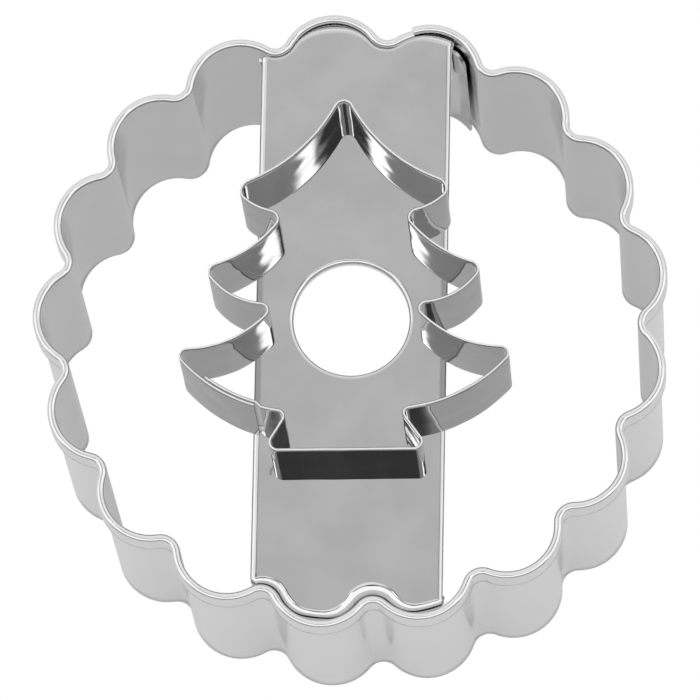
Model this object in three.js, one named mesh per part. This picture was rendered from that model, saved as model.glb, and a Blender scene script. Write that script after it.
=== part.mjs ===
import * as THREE from 'three';
import { mergeGeometries, mergeVertices } from 'three/addons/utils/BufferGeometryUtils.js';

// A two-sided linzer cookie cutter in stainless sheet. The scalloped ring cuts the biscuit, and the
// tree that stands on the other side of the bridge cuts the window. Millimetres, +Z up. The origin is
// on the ring's axis at the ring's cutting edge, and +Y runs along the bridge to the tree's tip.

// Ring: one strip bent into scallops, hemmed outwards along its top, with lapped and welded ends.
const scallopCount = 17;
const ringRadius = 25; // axis to the outside of the hem, on a crest
const ringHeight = 21.3;
const crestRadius = 3.93; // outside of the plain wall
const valleyRadius = 1.33; // outside of the plain wall
const firstCrestDegrees = 10.3; // from +X
const ringStrip = 0.25;
const hemDepth = 2.4;
const hemSlit = 0.04;
const seamScallop = 3; // counted from the first crest
const seamDegrees = 36; // round the crest, from its middle to the butt joint in the hem
const seamOpening = 0.2;
const ringLap = 4.2; // length of the inner tongue past the butt joint
const ringLapDrop = 2.5; // top of the tongue below the rim
const ringLapCorner = 1.5;
const jogLength = 0.9; // along the strip, where an end steps inside the other
const layerGap = 0.14; // between two sheets that lie on each other

// Bridge: one strip with hemmed long edges and both ends bent down inside the ring.
const bridgeWidth = 15;
const bridgeSheet = 0.3;
const bridgeDrop = 0.2; // bridge's upper face below the rim
const bridgeHem = 3;
const hemMitre = 1.5;
const bendRadius = 0.6; // upper side of the bend
const tabDepth = 8;
const holeRadius = 4.55;
const lipRadius = 0.35;
const lipDepth = 0.7;

// Tree: one strip on edge, with its ends lapped on the left lower branch. The corners run from the
// tip down the left side. bend is the radius of the corner, and hollow is how far the side that
// follows it bows inwards.
const treeHeight = 9;
const treeStrip = 0.2;
const treeTurnDegrees = 1.05;
const treeShift = -0.22;
const treeCorners = [
  { name: 'tip', x: 0, y: 15.99, bend: 0.62, hollow: 1.28 },
  { name: 'upper branch', x: -8.53, y: 8.25, bend: 0.91, hollow: -0.58 },
  { name: 'upper notch', x: -4.5, y: 6.14, bend: 0.66, hollow: 0.77 },
  { name: 'middle branch', x: -10.82, y: 1.71, bend: 0.66, hollow: -0.98 },
  { name: 'lower notch', x: -5.18, y: -1.21, bend: 0.57, hollow: 1.2 },
  { name: 'lower branch', x: -13.47, y: -5.05, bend: 0.61, hollow: -1.12 },
  { name: 'neck', x: -4.4, y: -9.75, bend: 0.45, hollow: 0 },
  { name: 'foot', x: -6.55, y: -12.97, bend: 0.5, hollow: 0 },
];
const lapCorner = 5; // the lap lies on the side that follows this corner
const treeLapEnd = 7.2; // along that side, from its start to the end of the outer layer
const treeLap = 4.3;
const treeLapGap = 0.14;
const footGap = 0.1; // height of the edge welds under the tree

// Welds: each is the fused metal between two sheets.
const weldRadius = 0.9;
const weldSkin = 0.04; // clearance to the sheet on each side
const footWeldLength = 2;
const footWelds = [
  { corner: 0, share: 0.45 },
  { corner: 2, share: 0.25 },
  { corner: 6, share: 0.5 },
  { corner: 8, share: 0.5 },
  { corner: 12, share: 0.75 },
  { corner: 14, share: 0.55 },
];

// Facets of the curves.
const facetDepth = 0.035; // the most that a facet of the ring lies inside its arc
const rimSteps = 4;
const bendSteps = 4;
const holeSteps = 40;
const sideSteps = 5;
const cornerSteps = 5;
const lapSteps = 5;
const weldSteps = 6;

const degrees = Math.PI / 180;
const steel = { color: 0xb9b9b9, metalness: 1, roughness: 0.18 };
const bridgeTop = ringHeight - bridgeDrop;
const bridgeUnder = bridgeTop - bridgeSheet;
const treeBase = bridgeTop + footGap;
const treeTop = treeBase + treeHeight;

function surface(points, index) {
  const geometry = new THREE.BufferGeometry();
  const positions = points.flatMap((point) => point.toArray());
  geometry.setAttribute('position', new THREE.Float32BufferAttribute(positions, 3));
  geometry.setIndex(index);
  return geometry;
}

// Skin over a run of rings of points. The rings run anticlockwise round the part, and each lists its
// points anticlockwise as seen with the outside to the right. An open ring leaves a gap in the skin.
function skin(rings, { runCloses = false, ringOpens = false } = {}) {
  const size = rings[0].length;
  const spans = runCloses ? rings.length : rings.length - 1;
  const edges = ringOpens ? size - 1 : size;
  const index = [];
  for (let i = 0; i < spans; i += 1) {
    const here = i * size;
    const next = ((i + 1) % rings.length) * size;
    for (let j = 0; j < edges; j += 1) {
      const k = (j + 1) % size;
      index.push(here + j, next + j, next + k, here + j, next + k, here + k);
    }
  }
  return surface(rings.flat(), index);
}

// Flat face over a ring of points whose profile gives them as offset and height.
function cap(ring, profile, faces) {
  const contour = profile.map(([offset, height]) => new THREE.Vector2(offset, height));
  const index = THREE.ShapeUtils.triangulateShape(contour, []).flat();
  return surface(ring, faces === 'back' ? index : index.reverse());
}

function level(contour, holes, height, faces) {
  const index = THREE.ShapeUtils.triangulateShape(contour, holes).flat();
  const points = [...contour, ...holes.flat()].map((point) => new THREE.Vector3(point.x, point.y, height));
  return surface(points, faces === 'up' ? index : index.reverse());
}

function closed(patches) {
  const geometry = mergeVertices(mergeGeometries(patches), 1e-5);
  geometry.computeVertexNormals();
  return geometry;
}

function bar(rings) {
  const profile = rectangle(0, 1, 0, 1);
  return closed([skin(rings), cap(rings[0], profile, 'back'), cap(rings.at(-1), profile, 'ahead')]);
}

function rectangle(inner, outer, low, high) {
  return [[inner, low], [outer, low], [outer, high], [inner, high]];
}

function ringOf(station, profile, shift = 0) {
  return profile.map(([offset, height]) => new THREE.Vector3(
    station.x + station.nx * (offset + shift),
    station.y + station.ny * (offset + shift),
    height,
  ));
}

function arcPoints(centre, height, radius, from, to, steps) {
  return Array.from({ length: steps + 1 }, (_, i) => {
    const angle = from + (to - from) * i / steps;
    return [centre + radius * Math.cos(angle), height + radius * Math.sin(angle)];
  });
}

// The marks that lie between two ends, with the ends themselves.
function marksBetween(marks, from, to, clear) {
  return [from, ...marks.filter((mark) => mark > from + clear && mark < to - clear), to];
}

function named(name, geometry) {
  const mesh = new THREE.Mesh(geometry, new THREE.MeshStandardMaterial(steel));
  mesh.name = name;
  return mesh;
}

// Scalloped line of the ring: the outside of its plain wall, as crest and valley arcs that meet
// smoothly. A mark counts scallops along it, and is whole on a crest. A station is the point at a
// mark, with the direction that faces out of the ring there.
const pitch = 2 * Math.PI / scallopCount;
const hemThickness = hemSlit + ringStrip;
const crestCentre = ringRadius - hemThickness - crestRadius;
const crestChord = crestCentre * Math.sin(pitch / 2);
const arcReach = crestRadius + valleyRadius;
const valleyCentre = crestCentre * Math.cos(pitch / 2) + Math.sqrt(arcReach ** 2 - crestChord ** 2);
const crestSpan = Math.atan2(
  valleyCentre * Math.sin(pitch / 2),
  valleyCentre * Math.cos(pitch / 2) - crestCentre,
);
const crestLength = 2 * crestRadius * crestSpan;
const valleyLength = 2 * valleyRadius * (crestSpan - pitch / 2);
const scallopLength = crestLength + valleyLength;
const crestSteps = facetsOn(crestRadius, crestLength);
const valleySteps = facetsOn(valleyRadius, valleyLength);

function facetsOn(radius, length) {
  return Math.ceil(length / radius / (2 * Math.acos(1 - facetDepth / radius)));
}

function arcStation(centre, centreAngle, radius, facing) {
  const nx = Math.cos(facing);
  const ny = Math.sin(facing);
  const x = centre * Math.cos(centreAngle) + radius * nx;
  const y = centre * Math.sin(centreAngle) + radius * ny;
  return { x, y, nx, ny };
}

function ringStation(mark) {
  const scallop = Math.round(mark);
  const middle = firstCrestDegrees * degrees + scallop * pitch;
  const along = (mark - scallop) * scallopLength;
  const past = Math.abs(along) - crestLength / 2;
  if (past <= 0) {
    return arcStation(crestCentre, middle, crestRadius, middle + along / crestRadius);
  }
  const side = Math.sign(along);
  const facing = middle + side * (crestSpan - past / valleyRadius);
  return arcStation(valleyCentre, middle + side * pitch / 2, -valleyRadius, facing);
}

const ringMarks = [];
for (let scallop = 0; scallop < 3 * scallopCount; scallop += 1) {
  for (let i = 0; i < crestSteps; i += 1) {
    ringMarks.push(scallop + (i / crestSteps - 0.5) * crestLength / scallopLength);
  }
  for (let i = 0; i < valleySteps; i += 1) {
    ringMarks.push(scallop + (crestLength / 2 + valleyLength * i / valleySteps) / scallopLength);
  }
}

// Ring strip: the hemmed run goes from one side of the butt joint round to the other. At its start it
// steps inwards, and a plain tongue goes on from there behind the other end.
const seamMark = seamScallop + seamDegrees * degrees * crestRadius / scallopLength;
const lapTop = ringHeight - ringLapDrop;

function ringProfile() {
  const fold = (2 * ringStrip + hemSlit) / 2;
  return [
    [-ringStrip, 0],
    [0, 0],
    [0, lapTop],
    [0, ringHeight - ringStrip],
    [hemSlit, ringHeight - hemDepth],
    [hemThickness, ringHeight - hemDepth],
    ...arcPoints(hemSlit / 2, ringHeight - fold, fold, 0, Math.PI, rimSteps),
    [-ringStrip, lapTop],
  ];
}

function ringStripGeometry() {
  const step = ringStrip + layerGap;
  const start = seamMark + seamOpening / 2 / scallopLength;
  const jogEnd = start + jogLength / scallopLength;
  const end = seamMark + scallopCount - seamOpening / 2 / scallopLength;
  const clear = ringStrip / scallopLength;
  const run = [];
  for (let i = 0; i < lapSteps; i += 1) {
    run.push(start + (jogEnd - start) * i / lapSteps);
  }
  run.push(...marksBetween(ringMarks, jogEnd, end, clear));
  const profile = ringProfile();
  const hemmed = run.map((mark) => {
    const inside = 1 - THREE.MathUtils.smoothstep(mark, start, jogEnd);
    return ringOf(ringStation(mark), profile, -step * inside);
  });

  const tongueEnd = seamMark - ringLap / scallopLength;
  const cornerEnd = tongueEnd + ringLapCorner / scallopLength;
  const tongueMarks = arcPoints(cornerEnd, 0, cornerEnd - tongueEnd, Math.PI, Math.PI / 2, lapSteps)
    .map(([mark]) => mark);
  const straight = marksBetween(ringMarks, cornerEnd, start, clear);
  tongueMarks.push(...straight.slice(1));
  const tongue = tongueMarks.map((mark) => {
    const past = Math.max(0, cornerEnd - mark) * scallopLength;
    const cut = ringLapCorner - Math.sqrt(Math.max(0, ringLapCorner ** 2 - past ** 2));
    return ringOf(ringStation(mark), rectangle(-ringStrip, 0, 0, lapTop - cut), -step);
  });
  return closed([
    cap(tongue[0], rectangle(0, 1, 0, 1), 'back'),
    skin(tongue),
    cap(hemmed[0].slice(2), profile.slice(2), 'back'),
    skin(hemmed),
    cap(hemmed.at(-1), profile, 'ahead'),
  ]);
}

// Bridge: two level faces, with the bent tabs along their scalloped ends, the hems along their sides
// and the lip round the hole. A seat between tab and ring leaves room for the ring's tongue.
const seat = ringStrip + 2 * layerGap;
const tabFace = -ringStrip - seat;
const bendStart = tabFace - bendRadius;
const hemFold = bridgeWidth / 2 - bridgeSheet;

function bendPoint(mark) {
  const station = ringStation(mark);
  return new THREE.Vector2(station.x + station.nx * bendStart, station.y + station.ny * bendStart);
}

// The mark at which the line of the bend crosses a given distance from the bridge's middle line.
function crossing(direction, distance) {
  const heading = direction < 180 ? -1 : 1;
  const middle = (direction - firstCrestDegrees) * degrees / pitch;
  let low = middle - scallopCount / 6;
  let high = middle + scallopCount / 6;
  for (let i = 0; i < 50; i += 1) {
    const mark = (low + high) / 2;
    if (heading * bendPoint(mark).x < distance) {
      low = mark;
    } else {
      high = mark;
    }
  }
  return (low + high) / 2 + (direction < 180 ? scallopCount : 0);
}

function tabMarks(direction) {
  const from = crossing(direction, -hemFold);
  const to = crossing(direction, hemFold);
  return marksBetween(ringMarks, from, to, bridgeSheet / scallopLength);
}

function tabPatches(marks) {
  const low = bridgeTop - tabDepth;
  const bendHeight = bridgeTop - bendRadius;
  const profile = [
    ...arcPoints(bendStart, bendHeight, bendRadius - bridgeSheet, Math.PI / 2, 0, bendSteps),
    [tabFace - bridgeSheet, low],
    [tabFace, low],
    ...arcPoints(bendStart, bendHeight, bendRadius, 0, Math.PI / 2, bendSteps),
  ];
  const rings = marks.map((mark) => ringOf(ringStation(mark), profile));
  return [
    cap(rings[0], profile, 'back'),
    skin(rings, { ringOpens: true }),
    cap(rings.at(-1), profile, 'ahead'),
  ];
}

function hemPatches(side, startY, endY) {
  const leafEnd = bridgeWidth / 2 - bridgeHem;
  const profile = [
    [hemFold, bridgeUnder],
    [leafEnd, bridgeUnder - hemSlit],
    [leafEnd, bridgeUnder - hemSlit - bridgeSheet],
    ...arcPoints(hemFold, bridgeUnder, bridgeSheet, -Math.PI / 2, Math.PI / 2, rimSteps),
  ];
  const heading = Math.sign(endY - startY);
  const [back, ahead] = [[startY, heading], [endY, -heading]].map(([y, inwards]) => (
    profile.map(([x, z]) => new THREE.Vector3(side * x, x === leafEnd ? y + inwards * hemMitre : y, z))
  ));
  return [cap(back, profile, 'back'), skin([back, ahead], { ringOpens: true }), cap(ahead, profile, 'ahead')];
}

function lipRings() {
  const bend = holeRadius + lipRadius;
  const bendHeight = bridgeTop - lipRadius;
  const low = bridgeTop - lipDepth;
  const profile = [
    ...arcPoints(bend, bendHeight, lipRadius, Math.PI / 2, Math.PI, bendSteps),
    [holeRadius, low],
    [holeRadius + bridgeSheet, low],
    ...arcPoints(bend, bendHeight, lipRadius - bridgeSheet, Math.PI, Math.PI / 2, 2),
  ];
  return Array.from({ length: holeSteps }, (_, i) => (
    ringOf(arcStation(0, 0, 0, 2 * Math.PI * i / holeSteps), profile)
  ));
}

function bridgeGeometry() {
  const front = tabMarks(270);
  const back = tabMarks(90);
  const outline = [...front, ...back].map(bendPoint);
  const [frontLeft, frontRight] = [outline[0], outline[front.length - 1]];
  const [backRight, backLeft] = [outline[front.length], outline.at(-1)];
  const lip = lipRings();
  const hole = lip.map((ring) => new THREE.Vector2(ring[0].x, ring[0].y));
  return closed([
    level(outline, [hole], bridgeTop, 'up'),
    level(outline, [hole], bridgeUnder, 'down'),
    ...tabPatches(front),
    ...tabPatches(back),
    ...hemPatches(1, frontRight.y, backRight.y),
    ...hemPatches(-1, backLeft.y, frontLeft.y),
    skin(lip, { runCloses: true, ringOpens: true }),
  ]);
}

// Tree: its outline is a closed run of points, anticlockwise from the tip, with the length at which
// each corner's side starts.
function treeOutline() {
  const left = treeCorners;
  const right = left.slice(1).reverse().map((corner, i) => ({
    ...corner,
    x: -corner.x,
    hollow: left[left.length - 2 - i].hollow,
  }));
  const corners = [...left, ...right];
  const sides = corners.map((corner, i) => {
    const next = corners[(i + 1) % corners.length];
    const from = new THREE.Vector2(corner.x, corner.y);
    const to = new THREE.Vector2(next.x, next.y);
    const inward = new THREE.Vector2(from.y - to.y, to.x - from.x).normalize();
    const control = from.clone().add(to).multiplyScalar(0.5).addScaledVector(inward, 2 * corner.hollow);
    return { curve: new THREE.QuadraticBezierCurve(from, control, to), start: 0, end: 1 };
  });
  corners.forEach((corner, i) => {
    const before = sides.at(i - 1);
    const after = sides[i];
    const turn = before.curve.getTangent(1).angleTo(after.curve.getTangent(0));
    const trim = corner.bend * Math.tan(turn / 2);
    before.end = 1 - trim / (2 * before.curve.v1.distanceTo(before.curve.v2));
    after.start = trim / (2 * after.curve.v0.distanceTo(after.curve.v1));
  });
  const points = [];
  const starts = [];
  sides.forEach((side, i) => {
    points.push(...cornerBend(sides.at(i - 1), side));
    starts.push(points.length);
    for (let j = 0; j < sideSteps; j += 1) {
      points.push(side.curve.getPoint(side.start + (side.end - side.start) * j / sideSteps));
    }
  });
  const lengths = [0];
  points.forEach((point, i) => {
    lengths.push(lengths[i] + point.distanceTo(points[(i + 1) % points.length]));
  });
  return { points, lengths, starts: starts.map((i) => lengths[i]), total: lengths.at(-1) };
}

// Points of the round bend between two sides, without the last.
function cornerBend(before, after) {
  const from = before.curve.getPoint(before.end);
  const to = after.curve.getPoint(after.start);
  const into = before.curve.getTangent(before.end);
  const out = after.curve.getTangent(after.start);
  const reach = to.clone().sub(from).cross(out) / into.cross(out);
  const corner = from.clone().addScaledVector(into, reach);
  const pull = Math.sin(from.clone().sub(corner).angleTo(to.clone().sub(corner)) / 2);
  return Array.from({ length: cornerSteps }, (_, j) => {
    const t = j / cornerSteps;
    const weights = [(1 - t) ** 2, 2 * t * (1 - t) * pull, t ** 2];
    const total = weights[0] + weights[1] + weights[2];
    return new THREE.Vector2()
      .addScaledVector(from, weights[0] / total)
      .addScaledVector(corner, weights[1] / total)
      .addScaledVector(to, weights[2] / total);
  });
}

const tree = treeOutline();
const treeLengths = [-1, 0, 1].flatMap((turn) => (
  tree.lengths.slice(0, -1).map((length) => length + turn * tree.total)
));

function treePoint(length) {
  const at = THREE.MathUtils.euclideanModulo(length, tree.total);
  const next = Math.max(1, tree.lengths.findIndex((mark) => mark > at));
  const share = (at - tree.lengths[next - 1]) / (tree.lengths[next] - tree.lengths[next - 1]);
  return tree.points[next - 1].clone().lerp(tree.points[next % tree.points.length], share);
}

function treeStation(length) {
  const point = treePoint(length);
  const along = treePoint(length + treeStrip / 2).sub(treePoint(length - treeStrip / 2)).normalize();
  return { x: point.x, y: point.y, nx: along.y, ny: -along.x };
}

const lapEnd = tree.starts[lapCorner] + treeLapEnd;

function treeStripGeometry() {
  const jogStart = lapEnd + treeLapGap;
  const jogEnd = jogStart + jogLength;
  const run = marksBetween(treeLengths, lapEnd - treeLap, jogStart, treeStrip);
  for (let i = 1; i < lapSteps; i += 1) {
    run.push(jogStart + jogLength * i / lapSteps);
  }
  run.push(...marksBetween(treeLengths, jogEnd, lapEnd + tree.total, treeStrip));
  const profile = rectangle(-treeStrip / 2, treeStrip / 2, treeBase, treeTop);
  return bar(run.map((length) => {
    const inside = 1 - THREE.MathUtils.smoothstep(length, jogStart, jogEnd);
    return ringOf(treeStation(length), profile, -inside * (treeStrip + treeLapGap));
  }));
}

// A round weld between two sheets follows their curve. stationAt gives the station at a length along
// the sheet from the weld's middle.
function roundWeld(stationAt, height, inner, outer) {
  const across = arcPoints(0, 0, weldRadius, Math.PI * 0.93, Math.PI * 0.07, weldSteps);
  return bar(across.map(([along, half]) => (
    ringOf(stationAt(along), rectangle(inner + weldSkin, outer - weldSkin, height - half, height + half))
  )));
}

function ringWeld(mark, height, inner, outer) {
  return roundWeld((along) => ringStation(mark + along / scallopLength), height, inner, outer);
}

const cutter = new THREE.Group();
cutter.add(named('ring_strip', ringStripGeometry()));
cutter.add(named('bridge_plate', bridgeGeometry()));

// The ring's seam is welded at two heights, in the middle of the lap.
const lapMark = seamMark - ringLap / 2 / scallopLength;
[0.25, 0.5].forEach((share, i) => {
  const weld = ringWeld(lapMark, ringHeight * share, -ringStrip - layerGap, -ringStrip);
  cutter.add(named(`ring_seam_weld_${i + 1}`, weld));
});

// Each tab is welded to the ring at two places on the crest nearest to its middle.
const tabEnds = [{ end: 'back', direction: 90 }, { end: 'front', direction: 270 }];
for (const { end, direction } of tabEnds) {
  const crest = Math.round((direction - firstCrestDegrees) * degrees / pitch);
  [-0.25, 0.25].forEach((share, i) => {
    const mark = crest + share * crestLength / scallopLength;
    const weld = ringWeld(mark, bridgeTop - tabDepth / 2, tabFace, -ringStrip);
    cutter.add(named(`${end}_tab_weld_${i + 1}`, weld));
  });
}

// The tree stands a little turned on the bridge. Its lap is welded at two heights, and its lower edge
// in short lengths.
const treeGroup = new THREE.Group();
treeGroup.rotation.z = treeTurnDegrees * degrees;
treeGroup.position.x = treeShift;
treeGroup.add(named('tree_strip', treeStripGeometry()));
[0.25, 0.75].forEach((share, i) => {
  const weld = roundWeld(
    (along) => treeStation(lapEnd - treeLap / 2 + along),
    treeBase + treeHeight * share,
    -treeStrip / 2 - treeLapGap,
    -treeStrip / 2,
  );
  treeGroup.add(named(`tree_seam_weld_${i + 1}`, weld));
});
footWelds.forEach(({ corner, share }, i) => {
  const start = tree.starts[corner];
  const end = tree.starts[corner + 1] ?? tree.total;
  const middle = start + (end - start) * share;
  const run = marksBetween(treeLengths, middle - footWeldLength / 2, middle + footWeldLength / 2, treeStrip);
  const profile = rectangle(-treeStrip / 2, treeStrip / 2, bridgeTop, treeBase);
  const weld = bar(run.map((length) => ringOf(treeStation(length), profile)));
  treeGroup.add(named(`tree_foot_weld_${i + 1}`, weld));
});
cutter.add(treeGroup);

export default cutter;
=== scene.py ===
import math

import bmesh
import bpy
from mathutils import Matrix, Vector, noise


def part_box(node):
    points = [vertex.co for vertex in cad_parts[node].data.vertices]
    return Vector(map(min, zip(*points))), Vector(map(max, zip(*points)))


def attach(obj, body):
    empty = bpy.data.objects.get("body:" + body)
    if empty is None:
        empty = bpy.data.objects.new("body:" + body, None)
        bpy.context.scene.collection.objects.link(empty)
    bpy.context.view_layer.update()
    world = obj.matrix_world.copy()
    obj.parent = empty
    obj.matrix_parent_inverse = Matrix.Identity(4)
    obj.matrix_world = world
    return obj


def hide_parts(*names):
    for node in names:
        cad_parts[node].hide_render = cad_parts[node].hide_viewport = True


# linzer cutter: scalloped ring, bridge with a push-out hole, fir tree on edge
# metres, in the same frame as the solids
mm = 0.001
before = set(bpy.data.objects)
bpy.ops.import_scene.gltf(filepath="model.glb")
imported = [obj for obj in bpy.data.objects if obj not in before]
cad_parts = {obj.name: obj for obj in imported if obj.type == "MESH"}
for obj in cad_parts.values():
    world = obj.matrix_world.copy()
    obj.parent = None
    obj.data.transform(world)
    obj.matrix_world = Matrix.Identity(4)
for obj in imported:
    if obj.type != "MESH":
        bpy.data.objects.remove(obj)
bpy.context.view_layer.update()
scene = bpy.context.scene
scene.view_settings.view_transform = "Standard"
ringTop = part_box("ring_strip")[1].z
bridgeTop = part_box("bridge_plate")[1].z
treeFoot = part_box("tree_strip")[0].z
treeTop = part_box("tree_strip")[1].z
print("frame loaded:", len(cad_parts), "nodes")


# small helpers for node trees, shader and geometry alike
def feed(tree, socket, value):
    if isinstance(value, bpy.types.NodeSocket):
        tree.links.new(value, socket)
    else:
        socket.default_value = value


def addNode(tree, kind, inputs=None, **settings):
    node = tree.nodes.new(kind)
    for name, value in settings.items():
        setattr(node, name, value)
    for key, value in (inputs or {}).items():
        feed(tree, node.inputs[key], value)
    return node


def calc(tree, operation, *values):
    return addNode(tree, "ShaderNodeMath", dict(enumerate(values)), operation=operation).outputs[0]


def ramp(tree, value, low, high, fromLevel=0.0, toLevel=1.0):  # smooth step between two levels
    limits = {"Value": value, "From Min": low, "From Max": high, "To Min": fromLevel, "To Max": toLevel}
    return addNode(tree, "ShaderNodeMapRange", limits, interpolation_type="SMOOTHSTEP").outputs[0]


def calcVector(tree, operation, inputs):
    return addNode(tree, "ShaderNodeVectorMath", inputs, operation=operation).outputs[0]


def noiseAt(tree, place, scale, detail):
    inputs = {"Vector": place, "Scale": scale, "Detail": detail}
    return addNode(tree, "ShaderNodeTexNoise", inputs).outputs["Fac"]


def newMaterial(name):
    material = bpy.data.materials.new(name)
    material.use_nodes = True
    material.node_tree.nodes.clear()
    return material, material.node_tree


# camera: long lens, high above the front of the cutter
cameraView = {
    "place": Vector((31.678, -182.229, 667.934)) * mm,
    "aim": Vector((-1.092, 3.314, 0.0)) * mm,
    "roll": math.radians(-9.299),
    "lens": 440.46,
    "sensor": 36.0,
    "clipStart": 0.01,
}


def makeCamera():
    ahead = (cameraView["aim"] - cameraView["place"]).normalized()
    level = ahead.cross(Vector((0, 0, 1))).normalized()
    upright = level.cross(ahead)
    turn = cameraView["roll"]
    right = level * math.cos(turn) + upright * math.sin(turn)
    up = upright * math.cos(turn) - level * math.sin(turn)
    camera = bpy.data.objects.new("camera", bpy.data.cameras.new("camera"))
    camera.data.lens = cameraView["lens"]
    camera.data.sensor_width = cameraView["sensor"]
    camera.data.clip_start = cameraView["clipStart"]
    facing = Matrix((right, up, -ahead)).transposed().to_4x4()
    camera.matrix_world = Matrix.Translation(cameraView["place"]) @ facing
    scene.collection.objects.link(camera)
    scene.camera = camera


makeCamera()

# steel: bright rolled sheet, with a fine grain along the strip and faint handling marks
ringFinish = {"grey": (0.71, 0.74), "roughness": (0.14, 0.22), "grain": 0.05}
bridgeFinish = {"grey": (0.70, 0.77), "roughness": (0.05, 0.10), "grain": 0.03}
# tree: the same steel painted a darker grey than in the ring and bridge, as painted shade on its walls
treeShadedFinish = {"grey": (0.40, 0.43), "roughness": (0.03, 0.07), "grain": 0.02}
wearPattern = {  # on all three strips
    "along": 60.0,  # grain per metre
    "across": 6500.0,
    "smudge": 220.0,  # smudges per metre
    "grainDetail": 3.0,
    "smudgeDetail": 4.0,
    "grainDepth": 0.01 * mm,
    "shares": (0.4, 0.6),  # of grain and smudge in the roughness
    "roughRange": (0.35, 0.65),
    "greyRange": (0.3, 0.7),
}
treeReflectionPaint = {  # painted reflection: long edges of the bridge under the tree, painted darker grey and made rougher in place of the tree's walls that these hems would mirror
    "from": 6.95 * mm,
    "rise": 0.15 * mm,
    "span": (-8.6 * mm, 4.6 * mm),
    "fade": 0.7 * mm,
    "grey": 0.42,
    "roughness": 0.5,
}
foldHighlight = {  # rim, hems and bends: burnished smoother by the folding tools, and painted near-white as a highlight
    "grey": 0.95,
    "roughness": 0.12,
    "ring": (0.14 * mm, 0.08 * mm),  # depth below the top where it starts, and where it is full
    "bridge": (0.02 * mm, 0.05 * mm),
}
shearHighlight = {"depth": 0.006 * mm, "grey": 0.98, "roughness": 0.7}  # sheared edge on top of the tree: rough, and painted near-white as a highlight
edgeShadeLine = {"depth": 0.06 * mm, "grey": 0.16, "roughness": 0.35}  # painted shade: a dark line painted just below the top of the tree, beside its bright edge
edgeFade = 0.002 * mm


def grainSpace(tree, followsStrip):
    place = addNode(tree, "ShaderNodeTexCoord").outputs["Object"]
    if not followsStrip:  # rolled along the bridge
        return place, (wearPattern["across"], wearPattern["along"], wearPattern["across"])
    height = addNode(tree, "ShaderNodeSeparateXYZ", {"Vector": place}).outputs["Z"]
    along = addNode(tree, "ShaderNodeAttribute", attribute_name="alongStrip").outputs["Fac"]
    laid = addNode(tree, "ShaderNodeCombineXYZ", {"X": along, "Y": 0.0, "Z": height}).outputs["Vector"]
    return laid, (wearPattern["along"], 1.0, wearPattern["across"])


def objectAxes(tree):
    place = addNode(tree, "ShaderNodeTexCoord").outputs["Object"]
    return addNode(tree, "ShaderNodeSeparateXYZ", {"Vector": place}).outputs


def heightMask(tree, low, high):  # none at the first height, all at the second
    return ramp(tree, objectAxes(tree)["Z"], low, high)


# mask of the painted reflection on the bridge's long edges under the tree
def treeReflectionMask(tree):
    axes = objectAxes(tree)
    start, fade = treeReflectionPaint["from"], treeReflectionPaint["fade"]
    low, high = treeReflectionPaint["span"]
    edge = ramp(tree, calc(tree, "ABSOLUTE", axes["X"]), start, start + treeReflectionPaint["rise"])
    front = ramp(tree, axes["Y"], low, low + fade)
    back = ramp(tree, axes["Y"], high, high - fade)
    return calc(tree, "MULTIPLY", edge, calc(tree, "MULTIPLY", front, back))


def toward(tree, value, goal, share):
    return calc(tree, "MULTIPLY_ADD", calc(tree, "SUBTRACT", goal, value), share, value)


def endMetal(tree, colour, rough, bump):
    metal = addNode(tree, "ShaderNodeBsdfPrincipled", {
        "Metallic": 1.0, "Roughness": rough, "Base Color": colour, "Normal": bump.outputs["Normal"],
    })
    addNode(tree, "ShaderNodeOutputMaterial", {"Surface": metal.outputs["BSDF"]})


def makeSteel(name, finish, followsStrip, spotsOf):
    material, tree = newMaterial(name)
    laid, scale = grainSpace(tree, followsStrip)
    stretched = addNode(tree, "ShaderNodeMapping", {"Vector": laid, "Scale": scale}).outputs["Vector"]
    grain = noiseAt(tree, stretched, 1.0, wearPattern["grainDetail"])
    smudge = noiseAt(tree, laid, wearPattern["smudge"], wearPattern["smudgeDetail"])
    grainShare, smudgeShare = wearPattern["shares"]
    wear = calc(tree, "MULTIPLY_ADD", grain, grainShare, calc(tree, "MULTIPLY", smudge, smudgeShare))
    rough = ramp(tree, wear, *wearPattern["roughRange"], *finish["roughness"])
    tone = ramp(tree, smudge, *wearPattern["greyRange"], *finish["grey"])
    # painted highlights, painted shade and painted reflection, each laid over its mask
    for spot, share in spotsOf(tree):
        rough = toward(tree, rough, spot["roughness"], share)
        tone = toward(tree, tone, spot["grey"], share)
    bump = addNode(tree, "ShaderNodeBump", {
        "Strength": finish["grain"], "Distance": wearPattern["grainDepth"], "Height": grain,
    })
    endMetal(tree, tone, rough, bump)
    return material


# painted highlight along the top of the ring's rim
def ringSpots(tree):
    start, full = foldHighlight["ring"]
    return [(foldHighlight, heightMask(tree, ringTop - start, ringTop - full))]


# painted highlight on the bends, hems and underside of the bridge, and painted reflection along its long
# edges under the tree
def bridgeSpots(tree):
    start, full = foldHighlight["bridge"]
    folded = heightMask(tree, bridgeTop - start, bridgeTop - full)
    return [(foldHighlight, folded), (treeReflectionPaint, treeReflectionMask(tree))]


# painted shade line just below the top of the tree, then the painted highlight on the top itself
def treeSpots(tree):
    edges = [(edge, treeTop - edge["depth"]) for edge in (edgeShadeLine, shearHighlight)]
    return [(edge, heightMask(tree, low - edgeFade, low + edgeFade)) for edge, low in edges]


ringSteel = makeSteel("ringSteel", ringFinish, True, ringSpots)
bridgeSteel = makeSteel("bridgeSteel", bridgeFinish, False, bridgeSpots)
treeSteel = makeSteel("treeSteel", treeShadedFinish, True, treeSpots)

weldFinish = {
    "dull": (0.30, 0.30, 0.30, 1.0),
    "bright": (0.54, 0.54, 0.54, 1.0),
    "speckle": 1800.0,  # per metre
    "detail": 4.0,
    "roughRange": (0.3, 0.7),
    "roughness": (0.55, 0.35),
    "bump": 0.3,
    "bumpDepth": 0.03 * mm,
}


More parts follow.
